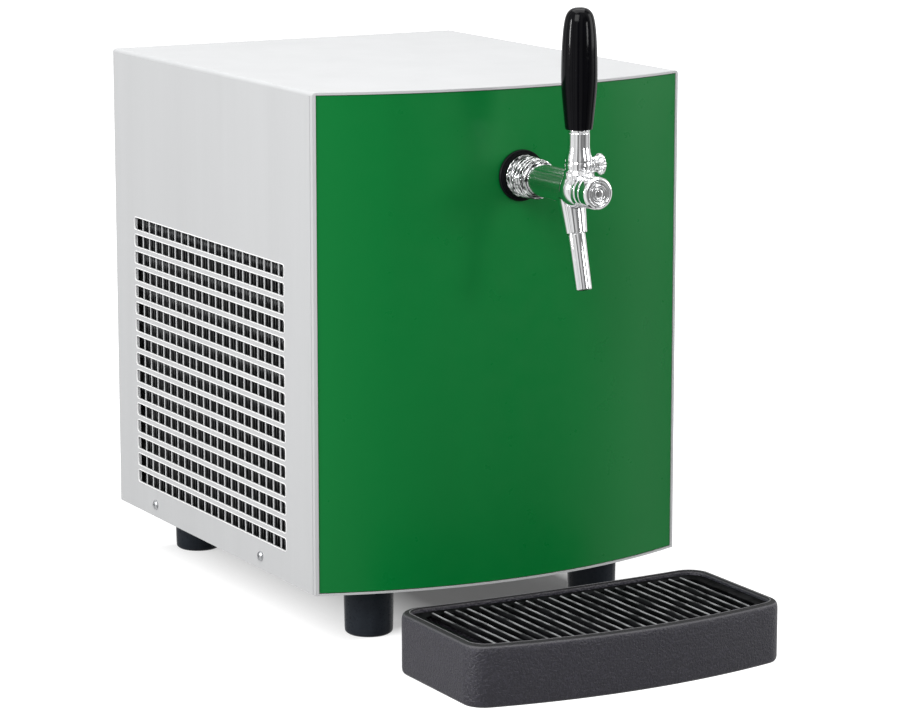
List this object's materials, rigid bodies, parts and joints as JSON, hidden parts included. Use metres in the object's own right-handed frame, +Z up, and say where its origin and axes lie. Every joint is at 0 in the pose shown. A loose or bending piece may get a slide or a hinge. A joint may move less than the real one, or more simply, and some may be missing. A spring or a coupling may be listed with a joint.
{
  "type": "mini keg beer dispenser",
  "caption": "Counter-top chilled cabinet with a bowed front, a lever tap and a rear keg door, and a free-standing drip tray.",
  "frame": {"origin": "middle of the whole footprint, cabinet and drip tray together, on the surface it stands on", "axes": "+Z up, the tap looks along -Y, +X to the right of someone who faces the tap"},
  "size_m": [0.339, 0.6504, 0.5123],
  "materials": {
    "cabinet_steel": "satin brushed sheet",
    "panel_green": "smooth semi-gloss coat",
    "tap_chrome": "polished",
    "seal_rubber": "matt",
    "foot_plastic": "fine moulded grain",
    "handle_black": "high gloss",
    "fitting_black": "moulded, half gloss",
    "tray_plastic": "coarse moulded grain",
    "grate_plastic": "moulded, half gloss",
    "bay_plastic": "smooth liner",
    "evaporator_aluminium": "rolled plate",
    "dark_metal": "satin black paint",
    "copper_pipe": "drawn copper",
    "beer_hose": "clear hose",
    "zinc": "zinc plated"
  },
  "bodies": {
    "cabinet": {"cabinet_wrap": "cabinet_steel", "base_pan": "cabinet_steel", "front_frame": "cabinet_steel", "grille_guard": "cabinet_steel", "rear_panel": "cabinet_steel", "front_panel": "panel_green", "shank_collar": "tap_chrome", "tap_shank": "tap_chrome", "tap_body": "tap_chrome", "tap_bonnet": "tap_chrome", "tap_front_cap": "tap_chrome", "spout_sleeve": "tap_chrome", "spout_tube": "tap_chrome", "shank_gasket": "seal_rubber", "keg_mat": "seal_rubber", "compressor_mount": "seal_rubber", "foot_front_left": "foot_plastic", "foot_front_right": "foot_plastic", "foot_rear_left": "foot_plastic", "foot_rear_right": "foot_plastic", "power_inlet": "fitting_black", "switch_bezel": "fitting_black", "keg_coupler": "fitting_black", "fan_frame": "fitting_black", "keg_bay": "bay_plastic", "evaporator": "evaporator_aluminium", "condenser": "dark_metal", "compressor": "dark_metal", "thermostat": "dark_metal", "suction_pipe": "copper_pipe", "discharge_pipe": "copper_pipe", "liquid_line": "copper_pipe", "beer_line": "beer_hose", "foot_screw_front_left": "zinc", "foot_screw_front_right": "zinc", "foot_screw_rear_left": "zinc", "foot_screw_rear_right": "zinc", "side_screw_left_front": "zinc", "side_screw_left_rear": "zinc", "side_screw_right_front": "zinc", "side_screw_right_rear": "zinc", "shank_nut": "zinc", "coupler_holder": "zinc", "hinge_upper": "zinc", "hinge_lower": "zinc"},
    "lever": {"tap_lever": "tap_chrome", "tap_handle": "handle_black"},
    "piston": {"tap_piston": "zinc", "piston_seal": "seal_rubber"},
    "knob": {"flow_knob": "tap_chrome"},
    "tray": {"drip_tray": "tray_plastic"},
    "grate": {"drip_grate": "grate_plastic"},
    "door": {"keg_door": "cabinet_steel", "door_liner": "bay_plastic", "door_gasket": "seal_rubber", "door_pull": "fitting_black"},
    "rotor": {"fan_rotor": "fitting_black"},
    "rocker": {"switch_rocker": "fitting_black"},
    "dial": {"thermostat_dial": "fitting_black"}
  },
  "joints": [
    {"name": "lever_swing", "type": "hinge", "parent": "cabinet", "child": "lever", "pos_m": [0, -0.22355, 0.391], "axis": [1, 0, 0], "range_deg": [0, 25]},
    {"name": "piston_slide", "type": "slide", "parent": "cabinet", "child": "piston", "axis": [0, 1, 0], "range_m": [0, 0.0077]},
    {"name": "flow_turn", "type": "hinge", "parent": "cabinet", "child": "knob", "pos_m": [0.016, -0.22355, 0.391], "axis": [1, 0, 0], "range_deg": [0, 90]},
    {"name": "tray_slide", "type": "slide", "parent": "cabinet", "child": "tray", "axis": [0, -1, 0], "range_m": [0, 0.12]},
    {"name": "grate_lift", "type": "slide", "parent": "tray", "child": "grate", "axis": [0, 0, 1], "range_m": [0, 0.06]},
    {"name": "door_swing", "type": "hinge", "parent": "cabinet", "child": "door", "pos_m": [0.1625, 0.28765, 0.24], "axis": [0, 0, -1], "range_deg": [0, 110]},
    {"name": "fan_spin", "type": "hinge", "parent": "cabinet", "child": "rotor", "pos_m": [-0.128, 0.09485, 0.204], "axis": [1, 0, 0], "continuous": true},
    {"name": "rocker_tilt", "type": "hinge", "parent": "cabinet", "child": "rocker", "pos_m": [-0.1081, 0.27985, 0.132], "axis": [1, 0, 0], "range_deg": [0, 18]},
    {"name": "thermostat_turn", "type": "hinge", "parent": "cabinet", "child": "dial", "pos_m": [-0.1081, 0.28685, 0.184], "axis": [0, 1, 0], "range_deg": [0, 270]}
  ],
  "couplings": [
    {"joint": "piston_slide", "follows": "lever_swing", "m_per_rad": 0.01744}
  ]
}
